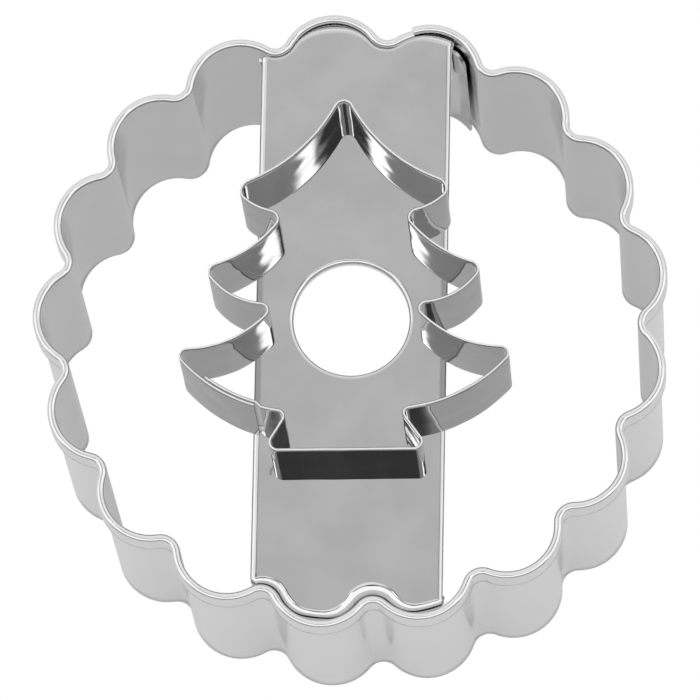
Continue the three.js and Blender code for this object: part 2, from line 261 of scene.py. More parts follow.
def makeWeldMetal():
    material, tree = newMaterial("weldMetal")
    place = addNode(tree, "ShaderNodeTexCoord").outputs["Object"]
    spots = noiseAt(tree, place, weldFinish["speckle"], weldFinish["detail"])
    tint = addNode(tree, "ShaderNodeValToRGB", {"Fac": spots})
    tint.color_ramp.elements[0].color = weldFinish["dull"]
    tint.color_ramp.elements[1].color = weldFinish["bright"]
    rough = ramp(tree, spots, *weldFinish["roughRange"], *weldFinish["roughness"])
    bump = addNode(tree, "ShaderNodeBump", {
        "Strength": weldFinish["bump"], "Distance": weldFinish["bumpDepth"], "Height": spots,
    })
    endMetal(tree, tint.outputs["Color"], rough, bump)
    return material


weldMetal = makeWeldMetal()
print("steel finishes made")


# pieces made by a geometry tree: inputs by name, result as a plain mesh
def newGeometryTree(name, sockets):
    tree = bpy.data.node_groups.new(name, "GeometryNodeTree")
    tree.interface.new_socket("Geometry", in_out="INPUT", socket_type="NodeSocketGeometry")
    for label, kind in sockets.items():
        tree.interface.new_socket(label, in_out="INPUT", socket_type="NodeSocket" + kind)
    tree.interface.new_socket("Geometry", in_out="OUTPUT", socket_type="NodeSocketGeometry")
    return tree, addNode(tree, "NodeGroupInput").outputs, addNode(tree, "NodeGroupOutput").inputs


def curveOf(tree, source):
    info = addNode(tree, "GeometryNodeObjectInfo", {"Object": source}, transform_space="ORIGINAL")
    return info.outputs["Geometry"]


def storeLength(tree, geometry, length):  # the grain of the steel follows it
    stored = addNode(tree, "GeometryNodeStoreNamedAttribute", {
        "Geometry": geometry, "Name": "alongStrip", "Value": length,
    }, data_type="FLOAT", domain="POINT")
    return stored.outputs["Geometry"]


def sweepProfile(tree, curve, given):
    upright = addNode(tree, "GeometryNodeSetCurveNormal", {"Curve": curve}, mode="Z_UP")
    swept = addNode(tree, "GeometryNodeCurveToMesh", {
        "Curve": upright.outputs["Curve"],
        "Profile Curve": curveOf(tree, given["Profile"]),
        "Fill Caps": True,
    })
    return swept.outputs["Mesh"]


def finishTree(tree, mesh, given, result):
    whole = addNode(tree, "GeometryNodeRealizeInstances", {"Geometry": mesh}).outputs["Geometry"]
    steel = addNode(tree, "GeometryNodeSetMaterial", {"Geometry": whole, "Material": given["Steel"]})
    feed(tree, result["Geometry"], steel.outputs["Geometry"])


def grow(name, tree, values):
    piece = bpy.data.objects.new(name, bpy.data.meshes.new(name))
    scene.collection.objects.link(piece)
    modifier = piece.modifiers.new(tree.name, "NODES")
    modifier.node_group = tree
    for item in tree.interface.items_tree:
        if item.in_out == "INPUT" and item.name in values:
            modifier[item.identifier] = values[item.name]
    return settle(piece)


def settle(piece):  # modifiers into a plain mesh
    shaped = piece.evaluated_get(bpy.context.evaluated_depsgraph_get())
    mesh = bpy.data.meshes.new_from_object(shaped)
    mesh.name = piece.name
    piece.modifiers.clear()
    piece.data = mesh
    return piece


def finishMesh(piece, sharpAngle=40.0, mergeDistance=1e-8):
    body = bmesh.new()
    body.from_mesh(piece.data)
    bmesh.ops.remove_doubles(body, verts=body.verts, dist=mergeDistance)
    bmesh.ops.recalc_face_normals(body, faces=body.faces)
    body.to_mesh(piece.data)
    body.free()
    piece.data.shade_smooth()
    piece.data.set_sharp_from_angle(angle=math.radians(sharpAngle))


def helperCurve(name, points, closes):
    curve = bpy.data.curves.new(name, "CURVE")
    curve.dimensions = "3D"
    line = curve.splines.new("POLY")
    line.points.add(len(points) - 1)
    for point, place in zip(line.points, points):
        point.co = (*place, 1.0)
    line.use_cyclic_u = closes
    helper = bpy.data.objects.new(name, curve)
    scene.collection.objects.link(helper)
    return helper


def profileCurve(name, points):  # offset to the right of the path and height, as the sweep lays them out
    return helperCurve(name, [(offset, -height, 0.0) for offset, height in points], True)


def drop(*helpers):
    for helper in helpers:
        bpy.data.objects.remove(helper)


def arc(centre, height, radius, fromAngle, toAngle, steps):
    turns = [fromAngle + (toAngle - fromAngle) * i / steps for i in range(steps + 1)]
    return [(centre + radius * math.cos(turn), height + radius * math.sin(turn)) for turn in turns]


def spread(low, high, steps):  # values after low, up to and with high
    return [low + (high - low) * (i + 1) / steps for i in range(steps)]


# ring strip: 17 scallops, hemmed outwards along the top, ends lapped at the back right
ringShape = {
    "scallops": 17,
    "rimRadius": 25.12 * mm,  # axis to the outside of the hem, on a crest
    "crest": 3.93 * mm,
    "valley": 1.33 * mm,
    "firstCrest": math.radians(10.3),
    "sheet": 0.25 * mm,
    "hemDepth": 2.4 * mm,
    "hemSlit": 0.16 * mm,
    "edgeRound": 0.05 * mm,
    "seamScallop": 3,
    "seamTurn": math.radians(36),
    "seamOpening": 0.08 * mm,
    "lap": 5.0 * mm,
    "lapDrop": 2.5 * mm,
    "lapCorner": 1.5 * mm,
    "jog": 2.6 * mm,
    "layerGap": 0.01 * mm,
    "tongueLift": 0.2 * mm,  # at the free end of the lap
    "tongueInset": 0.004 * mm,  # lies this deep inside the wall where the two runs meet
    "tongueRoot": 0.2,  # share of the jog that the tongue runs on into
    "waveHeight": 0.012 * mm,
    "waveLength": 5.0 * mm,
    "stationsPerScallop": 40,
    "wallRows": 8,
    "edgeSteps": 3,
    "slitSteps": 4,
    "foldSteps": 16,
}


def scallopLine():
    crest, valley = ringShape["crest"], ringShape["valley"]
    pitch = 2 * math.pi / ringShape["scallops"]
    crestCentre = ringShape["rimRadius"] - ringShape["hemSlit"] - ringShape["sheet"] - crest
    reach = math.sqrt((crest + valley) ** 2 - (crestCentre * math.sin(pitch / 2)) ** 2)
    valleyCentre = crestCentre * math.cos(pitch / 2) + reach
    rise = valleyCentre * math.sin(pitch / 2)
    span = math.atan2(rise, valleyCentre * math.cos(pitch / 2) - crestCentre)
    crestLength = 2 * crest * span
    length = crestLength + 2 * valley * (span - pitch / 2)
    return {
        "Pitch": pitch, "Crest Centre": crestCentre, "Valley Centre": valleyCentre,
        "Crest Span": span, "Crest Length": crestLength, "Scallop Length": length,
        "Crest Radius": crest, "Valley Radius": valley, "First Crest": ringShape["firstCrest"],
    }


line = scallopLine()
seamMark = ringShape["seamScallop"] + ringShape["seamTurn"] * ringShape["crest"] / line["Scallop Length"]


def ringStation(mark):  # point and outward direction on the outside of the plain wall
    scallop = math.floor(mark + 0.5)
    middle = line["First Crest"] + scallop * line["Pitch"]
    along = (mark - scallop) * line["Scallop Length"]
    past = abs(along) - line["Crest Length"] / 2
    if past <= 0:
        centre, centreAngle, radius = line["Crest Centre"], middle, line["Crest Radius"]
        facing = middle + along / radius
    else:
        side = math.copysign(1, along)
        centre, centreAngle = line["Valley Centre"], middle + side * line["Pitch"] / 2
        radius = -line["Valley Radius"]
        facing = middle + side * (line["Crest Span"] + past / radius)
    outward = Vector((math.cos(facing), math.sin(facing)))
    return Vector((math.cos(centreAngle), math.sin(centreAngle))) * centre + outward * radius, outward


def scallopedStripTree():
    sizes = dict.fromkeys(line, "Float")
    runs = dict.fromkeys((
        "Start", "End", "Jog Start", "Jog End", "Jog Depth",
        "Lift", "Lift End", "Wave Height", "Wave Length",
    ), "Float")
    others = {"Stations": "Int", "Profile": "Object", "Steel": "Material"}
    tree, given, result = newGeometryTree("scallopedStrip", {**sizes, **runs, **others})
    index = addNode(tree, "GeometryNodeInputIndex").outputs[0]
    share = calc(tree, "DIVIDE", index, calc(tree, "SUBTRACT", given["Stations"], 1.0))
    run = calc(tree, "SUBTRACT", given["End"], given["Start"])
    mark = calc(tree, "MULTIPLY_ADD", run, share, given["Start"])
    scallop = calc(tree, "FLOOR", calc(tree, "ADD", mark, 0.5))
    middle = calc(tree, "MULTIPLY_ADD", scallop, given["Pitch"], given["First Crest"])
    along = calc(tree, "MULTIPLY", calc(tree, "SUBTRACT", mark, scallop), given["Scallop Length"])
    side = calc(tree, "SIGN", along)
    crestEnd = calc(tree, "MULTIPLY", given["Crest Length"], 0.5)
    past = calc(tree, "SUBTRACT", calc(tree, "ABSOLUTE", along), crestEnd)
    inValley = calc(tree, "GREATER_THAN", past, 0.0)

    def either(onCrest, onValley):
        return calc(tree, "MULTIPLY_ADD", calc(tree, "SUBTRACT", onValley, onCrest), inValley, onCrest)

    crestFacing = calc(tree, "ADD", middle, calc(tree, "DIVIDE", along, given["Crest Radius"]))
    turnBack = calc(tree, "DIVIDE", past, given["Valley Radius"])
    valleyTurn = calc(tree, "SUBTRACT", given["Crest Span"], turnBack)
    facing = either(crestFacing, calc(tree, "MULTIPLY_ADD", side, valleyTurn, middle))
    halfPitch = calc(tree, "MULTIPLY", given["Pitch"], 0.5)
    centreAngle = either(middle, calc(tree, "MULTIPLY_ADD", side, halfPitch, middle))
    centre = either(given["Crest Centre"], given["Valley Centre"])
    radius = either(given["Crest Radius"], calc(tree, "MULTIPLY", given["Valley Radius"], -1.0))
    inside = ramp(tree, mark, given["Jog Start"], given["Jog End"], 1.0, 0.0)
    length = calc(tree, "MULTIPLY", mark, given["Scallop Length"])
    wave = addNode(tree, "ShaderNodeTexNoise", {
        "W": calc(tree, "DIVIDE", length, given["Wave Length"]), "Scale": 1.0, "Detail": 1.0,
    }, noise_dimensions="1D").outputs["Fac"]
    fullWave = calc(tree, "MULTIPLY", given["Wave Height"], 2.0)
    swell = calc(tree, "MULTIPLY", calc(tree, "SUBTRACT", wave, 0.5), fullWave)
    lifted = ramp(tree, mark, given["Start"], given["Lift End"], 1.0, 0.0)
    jogged = calc(tree, "MULTIPLY", given["Jog Depth"], inside)
    stepped = calc(tree, "MULTIPLY_ADD", given["Lift"], lifted, jogged)
    shift = calc(tree, "SUBTRACT", swell, stepped)
    reach = calc(tree, "ADD", radius, shift)

    def coordinate(operation):
        fromAxis = calc(tree, "MULTIPLY", centre, calc(tree, operation, centreAngle))
        return calc(tree, "MULTIPLY_ADD", reach, calc(tree, operation, facing), fromAxis)

    place = addNode(tree, "ShaderNodeCombineXYZ", {
        "X": coordinate("COSINE"), "Y": coordinate("SINE"), "Z": 0.0,
    })
    stations = addNode(tree, "GeometryNodeMeshLine", {"Count": given["Stations"]}, mode="OFFSET")
    placed = addNode(tree, "GeometryNodeSetPosition", {
        "Geometry": stations.outputs["Mesh"], "Position": place.outputs["Vector"],
    })
    measured = storeLength(tree, placed.outputs["Geometry"], length)
    curve = addNode(tree, "GeometryNodeMeshToCurve", {"Mesh": measured})
    finishTree(tree, sweepProfile(tree, curve.outputs["Curve"], given), given, result)
    return tree


def hemmedProfile():
    sheet, slit, soft = ringShape["sheet"], ringShape["hemSlit"], ringShape["edgeRound"]
    fold = sheet + slit / 2
    bend = ringTop - fold
    leafEnd = ringTop - ringShape["hemDepth"]
    rows, steps = ringShape["wallRows"], ringShape["edgeSteps"]
    outer = slit + sheet
    return [
        *arc(-sheet + soft, soft, soft, math.pi, 1.5 * math.pi, steps),
        *arc(-soft, soft, soft, -0.5 * math.pi, 0, steps),
        *[(0.0, z) for z in spread(soft, bend, rows)],
        *arc(slit / 2, bend, slit / 2, math.pi, 0, ringShape["slitSteps"])[1:],
        (slit, (bend + leafEnd) / 2),
        *arc(slit + soft, leafEnd + soft, soft, math.pi, 1.5 * math.pi, steps),
        *arc(outer - soft, leafEnd + soft, soft, -0.5 * math.pi, 0, steps),
        (outer, (bend + leafEnd) / 2),
        *arc(slit / 2, bend, fold, 0, math.pi, ringShape["foldSteps"]),
        *[(-sheet, z) for z in spread(bend, soft, rows)[:-1]],
    ]


def tongueProfile():
    soft, steps = ringShape["edgeRound"], ringShape["edgeSteps"]
    top = ringTop - ringShape["lapDrop"]
    inner, outer = -ringShape["sheet"] + ringShape["tongueInset"], -ringShape["tongueInset"]
    return [
        *arc(inner + soft, soft, soft, math.pi, 1.5 * math.pi, steps),
        *arc(outer - soft, soft, soft, -0.5 * math.pi, 0, steps),
        *arc(outer - soft, top - soft, soft, 0, 0.5 * math.pi, steps),
        *arc(inner + soft, top - soft, soft, 0.5 * math.pi, math.pi, steps),
    ]


def roundTongueCorner(piece, endMark):  # lowers the free corner of the tongue in a quarter round
    corner = ringShape["lapCorner"]
    end = endMark * line["Scallop Length"]
    top = ringTop - ringShape["lapDrop"]
    lengths = piece.data.attributes["alongStrip"].data
    for vertex in piece.data.vertices:
        past = min(corner, max(0.0, end + corner - lengths[vertex.index].value))
        cut = corner - math.sqrt(corner ** 2 - past ** 2)
        vertex.co.z = min(vertex.co.z, top - cut)


def makeRing():
    tree = scallopedStripTree()
    length = line["Scallop Length"]
    start = seamMark + ringShape["seamOpening"] / 2 / length
    end = seamMark + ringShape["scallops"] - ringShape["seamOpening"] / 2 / length
    jogEnd = start + ringShape["jog"] / length
    tongueEnd = seamMark - ringShape["lap"] / length
    tongueRoot = start + ringShape["tongueRoot"] * (jogEnd - start)
    common = {
        **line,
        "Jog Start": start,
        "Jog End": jogEnd,
        "Jog Depth": ringShape["sheet"] + ringShape["layerGap"],
        "Wave Height": ringShape["waveHeight"],
        "Wave Length": ringShape["waveLength"],
        "Steel": ringSteel,
    }
    hemmed = profileCurve("hemmedProfile", hemmedProfile())
    plain = profileCurve("tongueProfile", tongueProfile())
    ring = grow("ringStrip", tree, {
        **common, "Start": start, "End": end, "Profile": hemmed, "Lift": 0.0, "Lift End": end,
        "Stations": ringShape["scallops"] * ringShape["stationsPerScallop"],
    })
    tongue = grow("ringTongue", tree, {
        **common, "Start": tongueEnd, "End": tongueRoot, "Profile": plain,
        "Lift": ringShape["tongueLift"], "Lift End": seamMark,
        "Stations": ringShape["stationsPerScallop"],
    })
    roundTongueCorner(tongue, tongueEnd)
    drop(hemmed, plain)
    with bpy.context.temp_override(active_object=ring, selected_editable_objects=[ring, tongue]):
        bpy.ops.object.join()
    finishMesh(ring)
    return ring


ringStrip = makeRing()
print("ring strip:", len(ringStrip.data.polygons), "faces")

# bridge: hemmed long edges, drawn hole, ends bent down inside the ring
bridgeShape = {
    "sides": (-7.52 * mm, 7.52 * mm),
    "noseWidth": (0.48 * mm, 0.33 * mm),  # left edge is rolled wider than the right
    "noseDepth": 0.31 * mm,
    "sheet": 0.28 * mm,
    "hem": 2.2 * mm,
    "mitre": 1.5 * mm,
    "seat": 0.78 * mm,  # outside of the ring's wall to the face of the tab
    "seatDepth": 2.3 * mm,  # below this the tab stands at its seat
    # bend on a crest, in a middle valley and in a valley at the side
    # gap to the ring on a crest, on a flank and in a valley
    "front": {"bend": (0.55 * mm, 1.05 * mm, 0.45 * mm), "gap": (0.24 * mm, 0.03 * mm, 0.08 * mm)},
    "back": {"bend": (0.75 * mm, 0.25 * mm, 0.25 * mm), "gap": (0.08 * mm, 0.03 * mm, 0.04 * mm)},
    "tabDepth": 8.0 * mm,
    "hole": 4.55 * mm,
    "lip": 0.35 * mm,
    "lipDepth": 0.7 * mm,
    "waveHeight": 0.02 * mm,
    "waveLength": 7.0 * mm,
    "square": 7.1 * mm,  # half the flat part round the hole, front to back
    "columns": 72,
    "rows": 44,
    "bendSteps": 12,
    "tabRows": 24,
    "noseSteps": 12,
    "leafRows": 5,
    "holeRings": 14,
    "lipSteps": 8,
    "lipRows": 2,
    "searchSteps": 40,
}


def bendPlace(end, mark):  # where the bend starts, the way out, its radius, the wall and the tab's top
    place, outward = ringStation(mark)
    swing = math.cos(2 * math.pi * mark)
    crestBend, valleyBend, cornerBend = end["bend"]
    valleyBend += (cornerBend - valleyBend) * min(1, (place.x / bridgeShape["sides"][1]) ** 2)
    bend = valleyBend + (crestBend - valleyBend) * (0.5 + 0.5 * swing)
    crestGap, flankGap, valleyGap = end["gap"]
    gap = flankGap + ((crestGap if swing > 0 else valleyGap) - flankGap) * swing ** 2
    tabTop = -ringShape["sheet"] - gap
    start = place + outward * (tabTop - bend)
    return {"start": start, "outward": outward, "bend": bend, "wall": place, "tabTop": tabTop}


def bridgeEnd(end, direction, columns):  # places along the bend, one for each column of the sheet
    heading = -1 if direction < 180 else 1
    middle = (math.radians(direction) - line["First Crest"]) / line["Pitch"]
    reach = ringShape["scallops"] / 6  # a sixth of the way round, to each side
    places = []
    for x in columns:
        low, high = middle - reach, middle + reach
        for _ in range(bridgeShape["searchSteps"]):
            mark = (low + high) / 2
            if heading * bendPlace(end, mark)["start"].x < heading * x:
                low = mark
            else:
                high = mark
        places.append(bendPlace(end, low))
    return places


def addRows(body, rows):  # faces between neighbouring rows of vertices
    for one, other in zip(rows, rows[1:]):
        for i in range(len(one) - 1):
            body.faces.new((one[i], one[i + 1], other[i + 1], other[i]))


def makeTab(body, places):  # rows of the bend and the tab, each with its outward directions
    rows = []
    for i in range(bridgeShape["bendSteps"]):
        turn = 0.5 * math.pi * (i + 1) / bridgeShape["bendSteps"]
        row, normals = [], []
        for spot in places:
            reach = spot["outward"] * (spot["bend"] * math.sin(turn))
            z = bridgeTop - spot["bend"] * (1 - math.cos(turn))
            row.append(body.verts.new((*(spot["start"] + reach), z)))
            normals.append(Vector((*(spot["outward"] * math.sin(turn)), math.cos(turn))))
        rows.append((row, normals))
    for share in spread(0, 1, bridgeShape["tabRows"]):
        row, normals = [], []
        for spot in places:
            depth = spot["bend"] + (bridgeShape["tabDepth"] - spot["bend"]) * share
            lean = min(1.0, (depth - spot["bend"]) / (bridgeShape["seatDepth"] - spot["bend"]))
            offset = spot["tabTop"] + (-bridgeShape["seat"] - spot["tabTop"]) * lean
            row.append(body.verts.new((*(spot["wall"] + spot["outward"] * offset), bridgeTop - depth)))
            normals.append(Vector((*spot["outward"], 0.0)))
        rows.append((row, normals))
    return rows


def makeNose(body, edge, normals, side, width):  # rolled edge along one side, from tab to tab
    depth = bridgeShape["noseDepth"]
    rows = [edge]
    for i in range(bridgeShape["noseSteps"]):
        turn = math.pi * (i + 1) / bridgeShape["noseSteps"]
        row = []
        for vertex, normal in zip(edge, normals):
            sideways = (Vector((side, 0, 0)) - normal * (side * normal.x)).normalized()
            place = vertex.co + sideways * (width * math.sin(turn)) - normal * (depth * (1 - math.cos(turn)))
            row.append(body.verts.new(place))
        rows.append(row)
    addRows(body, rows)
    return rows[-1]


def makeLeaf(body, fold, side):  # flat leaf folded under, with mitred ends
    low, high = fold[0].co.y, fold[-1].co.y
    middle, half = (low + high) / 2, (high - low) / 2
    rows = [fold]
    for share in spread(0, 1, bridgeShape["leafRows"]):
        narrow = 1 - share * bridgeShape["mitre"] / half
        reach = -side * bridgeShape["hem"] * share
        rows.append([
            body.verts.new((vertex.co.x + reach, middle + (vertex.co.y - middle) * narrow, vertex.co.z))
            for vertex in fold
        ])
    addRows(body, rows)


def makeHole(body, square):  # from the closed square of vertices in to the rounded lip
    lip = bridgeShape["lip"]
    bendRadius = bridgeShape["hole"] + lip
    rows = [square]

    def ringAt(place):
        rows.append([body.verts.new(place(vertex.co.xy)) for vertex in square])

    for share in spread(0, 1, bridgeShape["holeRings"]):
        ringAt(lambda xy, s=share: (*xy.lerp(xy.normalized() * bendRadius, s), bridgeTop))
    for turn in spread(0, 0.5 * math.pi, bridgeShape["lipSteps"]):
        reach = bendRadius - lip * math.sin(turn)
        z = bridgeTop - lip * (1 - math.cos(turn))
        ringAt(lambda xy, r=reach, z=z: (*(xy.normalized() * r), z))
    for z in spread(bridgeTop - lip, bridgeTop - bridgeShape["lipDepth"], bridgeShape["lipRows"]):
        ringAt(lambda xy, z=z: (*(xy.normalized() * bridgeShape["hole"]), z))
    addRows(body, [[*row, row[0]] for row in rows])


def makeBridge():
    count = bridgeShape["columns"]
    left, right = bridgeShape["sides"]
    leftNose, rightNose = bridgeShape["noseWidth"]
    columns = [left + leftNose, *spread(left + leftNose, right - rightNose, count)]
    half = bridgeShape["square"]
    body = bmesh.new()

    def flatPart(end, direction, side):  # from the square round the hole out to the bend, and down the tab
        places = bridgeEnd(end, direction, columns)
        rows = [[body.verts.new((x, side * half, bridgeTop)) for x in columns]]
        for share in spread(0, 1, bridgeShape["rows"]):
            ends = [side * half + (spot["start"].y - side * half) * share for spot in places]
            rows.append([body.verts.new((x, y, bridgeTop)) for x, y in zip(columns, ends)])
        tab = makeTab(body, places)
        addRows(body, rows + [row for row, _ in tab])
        return rows, tab

    frontRows, frontTab = flatPart(bridgeShape["front"], 270, -1)
    backRows, backTab = flatPart(bridgeShape["back"], 90, 1)
    sides = {}
    for side, column, nose in ((-1, 0, leftNose), (1, -1, rightNose)):
        middle = [body.verts.new((columns[column], y, bridgeTop)) for y in spread(-half, half, count)[:-1]]
        sides[side] = [frontRows[0][column], *middle, backRows[0][column]]
        flat = [row[column] for row in reversed(frontRows)] + middle + [row[column] for row in backRows]
        edge = [row[column] for row, _ in reversed(frontTab)] + flat + [row[column] for row, _ in backTab]
        normals = [normal[column] for _, normal in reversed(frontTab)]
        normals += [Vector((0, 0, 1))] * len(flat)
        normals += [normal[column] for _, normal in backTab]
        fold = makeNose(body, edge, normals, side, nose)
        makeLeaf(body, fold[len(frontTab):len(frontTab) + len(flat)], side)
    square = [*frontRows[0][:-1], *sides[1][:-1], *reversed(backRows[0][1:]), *reversed(sides[-1][1:])]
    makeHole(body, square)
    for vertex in body.verts:  # the sheet isn't quite flat
        spot = Vector((vertex.co.x, vertex.co.y, 0.0)) / bridgeShape["waveLength"]
        vertex.co.z += bridgeShape["waveHeight"] * noise.noise(spot)
    bmesh.ops.recalc_face_normals(body, faces=body.faces)
    body.faces.ensure_lookup_table()
    if body.faces[0].normal.z < 0:
        bmesh.ops.reverse_faces(body, faces=body.faces)
    bridge = bpy.data.objects.new("bridgePlate", bpy.data.meshes.new("bridgePlate"))
    body.to_mesh(bridge.data)
    body.free()
    scene.collection.objects.link(bridge)
    bridge.data.materials.append(bridgeSteel)
    wall = bridge.modifiers.new("sheet", "SOLIDIFY")
    wall.thickness = bridgeShape["sheet"]
    wall.offset = -1.0
    settle(bridge)
    finishMesh(bridge)
    return bridge


bridgePlate = makeBridge()
print("bridge plate:", len(bridgePlate.data.polygons), "faces")

# tree: one strip on edge; corners from the tip down each side, in millimetres
# each has x, y, its bend radius and the hollow of the side that follows it anticlockwise
treeShape = {
    "left": [
        (0.0, 15.99, 0.62, 1.28),
        (-8.53, 8.25, 0.91, -0.58),
        (-4.50, 6.14, 0.66, 0.77),
        (-10.82, 1.71, 0.66, -0.98),
        (-5.18, -1.21, 0.57, 1.20),
        (-13.32, -4.80, 0.55, -1.12),
        (-4.28, -9.90, 0.50, 0.0),
        (-6.15, -12.97, 0.60, 0.0),
    ],
    "right": [
        (8.53, 8.25, 0.91, 1.28),
        (4.50, 6.14, 0.66, -0.58),
        (10.82, 1.71, 0.66, 0.77),
        (5.18, -1.21, 0.57, -0.98),
        (13.40, -4.90, 0.55, 1.20),
        (4.26, -9.75, 0.45, -1.12),
        (6.55, -12.97, 0.55, 0.0),
    ],
    "turn": math.radians(1.05),
    "shift": -0.22 * mm,
    "sheet": 0.2 * mm,
    "edgeRound": (0.02 * mm, 0.09 * mm),  # outside and inside
    "footFlare": 0.03 * mm,  # inside of the strip draws back a little at its foot
    "flareHeight": 0.6 * mm,
    "lapSide": 5,  # the lap lies on the side after this corner
    "lapEnd": 6.78 * mm,
    "lap": 4.46 * mm,
    "layerGap": 0.08 * mm,
    "jog": 0.6 * mm,
    "jogDelay": 0.05 * mm,  # from the end of the outer layer
    "jogSteps": 8,
    "sideSteps": 20,
    "bendSteps": 10,
    "edgeSteps": (4, 8),
    "wallRows": 16,
    "footStep": 0.03 * mm,
    "footRows": range(1, 20, 3),  # closer rows in the flare, in foot steps
    "waveHeight": 0.075 * mm,
    "waveLength": 2.4 * mm,
}


def bezierPoint(side, t):
    start, pull, end = side
    return start * (1 - t) ** 2 + pull * (2 * t * (1 - t)) + end * t ** 2


def bezierSlope(side, t):
    start, pull, end = side
    return ((pull - start) * (1 - t) + (end - pull) * t).normalized()


def roundBend(fromPoint, fromSlope, toPoint, toSlope):  # circular, without its last point
    reach = (toPoint - fromPoint).cross(toSlope) / fromSlope.cross(toSlope)
    corner = fromPoint + fromSlope * reach
    pull = math.sin((fromPoint - corner).angle(toPoint - corner) / 2)
    points = []
    for i in range(treeShape["bendSteps"]):
        t = i / treeShape["bendSteps"]
        weights = ((1 - t) ** 2, 2 * t * (1 - t) * pull, t ** 2)
        points.append((fromPoint * weights[0] + corner * weights[1] + toPoint * weights[2]) / sum(weights))
    return points


def treeOutline():  # anticlockwise from the tip, with the point at which each side starts
    corners = [*treeShape["left"], *reversed(treeShape["right"])]
    places = [Vector(corner[:2]) * mm for corner in corners]
    sides = []
    for i, corner in enumerate(corners):
        start, end = places[i], places[(i + 1) % len(places)]
        inward = Vector((start.y - end.y, end.x - start.x)).normalized()
        sides.append((start, (start + end) / 2 + inward * (2 * corner[3] * mm), end))
    spans = [[0.0, 1.0] for _ in sides]
    for i, corner in enumerate(corners):
        into, out = bezierSlope(sides[i - 1], 1), bezierSlope(sides[i], 0)
        trim = corner[2] * mm * math.tan(into.angle(out) / 2)
        spans[i - 1][1] = 1 - trim / (2 * (sides[i - 1][2] - sides[i - 1][1]).length)
        spans[i][0] = trim / (2 * (sides[i][1] - sides[i][0]).length)
    points, starts = [], []
    for i, side in enumerate(sides):
        before, (low, high) = sides[i - 1], spans[i]
        leave = spans[i - 1][1]
        points += roundBend(
            bezierPoint(before, leave), bezierSlope(before, leave),
            bezierPoint(side, low), bezierSlope(side, low),
        )
        starts.append(len(points))
        points += [bezierPoint(side, low + (high - low) * j / treeShape["sideSteps"])
                   for j in range(treeShape["sideSteps"])]
    return points, starts


def treePath():  # one open run: outer end of the lap, all the way round and in behind it
    points, starts = treeOutline()
    count = len(points)
    lengths = [0.0]
    for i in range(3 * count):
        lengths.append(lengths[-1] + (points[(i + 1) % count] - points[i % count]).length)
    lapEnd = lengths[count + starts[treeShape["lapSide"]]] + treeShape["lapEnd"]
    first, last = lapEnd - treeShape["lap"], lapEnd + lengths[count]
    jogStart = lapEnd + treeShape["jogDelay"]
    jogSteps = treeShape["jogSteps"]
    step = treeShape["sheet"] + treeShape["layerGap"]

    def pointAt(length):
        low = max(i for i, mark in enumerate(lengths) if mark <= length)
        share = (length - lengths[low]) / (lengths[low + 1] - lengths[low])
        return points[low % count].lerp(points[(low + 1) % count], share)

    marks = [first, *[mark for mark in lengths if first < mark < last], last]
    marks += [jogStart + treeShape["jog"] * i / jogSteps for i in range(jogSteps + 1)]
    path = []
    turn = Matrix.Rotation(treeShape["turn"], 2)
    for mark in sorted(marks):
        ahead = (pointAt(mark + step / 4) - pointAt(mark - step / 4)).normalized()
        outward = Vector((ahead.y, -ahead.x))
        inside = 1 - min(1.0, max(0.0, (mark - jogStart) / treeShape["jog"]))
        inside = inside * inside * (3 - 2 * inside)
        place = turn @ (pointAt(mark) - outward * (step * inside))
        path.append((place.x + treeShape["shift"], place.y, 0.0))
    return path


def bentStripTree():
    tree, given, result = newGeometryTree("bentStrip", {
        "Path": "Object",
        "Profile": "Object",
        "Wave Height": "Float",
        "Wave Length": "Float",
        "Steel": "Material",
    })
    length = addNode(tree, "GeometryNodeSplineParameter").outputs["Length"]
    measured = storeLength(tree, curveOf(tree, given["Path"]), length)
    swept = sweepProfile(tree, measured, given)
    place = addNode(tree, "GeometryNodeInputPosition").outputs[0]
    scaled = calcVector(tree, "DIVIDE", {0: place, 1: given["Wave Length"]})
    wave = addNode(tree, "ShaderNodeTexNoise", {"Vector": scaled, "Scale": 1.0, "Detail": 1.0})
    centred = calcVector(tree, "SUBTRACT", {0: wave.outputs["Color"], 1: (0.5, 0.5, 0.5)})
    level = calcVector(tree, "MULTIPLY", {0: centred, 1: (1.0, 1.0, 0.0)})  # no push up or down
    push = calcVector(tree, "SCALE", {0: level, "Scale": given["Wave Height"]})
    uneven = addNode(tree, "GeometryNodeSetPosition", {"Geometry": swept, "Offset": push})
    finishTree(tree, uneven.outputs["Geometry"], given, result)
    return tree


def treeProfile():
    half = treeShape["sheet"] / 2
    sharp, soft = treeShape["edgeRound"]
    sharpSteps, softSteps = treeShape["edgeSteps"]
    footStep, flareTop = treeShape["footStep"], treeFoot + treeShape["flareHeight"]
    wallRows = spread(treeFoot + footStep, treeTop - soft, treeShape["wallRows"])[:-1]
    heights = [treeFoot + footStep * i for i in treeShape["footRows"]] + [z for z in wallRows if z > flareTop]

    def flare(z):
        return treeShape["footFlare"] * max(0.0, 1 - (z - treeFoot) / treeShape["flareHeight"]) ** 2

    return [
        (-half + treeShape["footFlare"], treeFoot),
        (half, treeFoot),
        *[(half, z) for z in heights],
        *arc(half - sharp, treeTop - sharp, sharp, 0, 0.5 * math.pi, sharpSteps),
        *arc(-half + soft, treeTop - soft, soft, 0.5 * math.pi, math.pi, softSteps),
        *[(-half + flare(z), z) for z in reversed(heights)],
    ]


def makeTree():
    path = helperCurve("treePath", treePath(), False)
    profile = profileCurve("treeProfile", treeProfile())
    strip = grow("treeStrip", bentStripTree(), {
        "Path": path, "Profile": profile, "Wave Height": treeShape["waveHeight"],
        "Wave Length": treeShape["waveLength"], "Steel": treeSteel,
    })
    drop(path, profile)
    finishMesh(strip)
    strip.visible_glossy = False  # the bridge stays plain under the tree
    return strip


treeStrip = makeTree()
print("tree strip:", len(treeStrip.data.polygons), "faces")

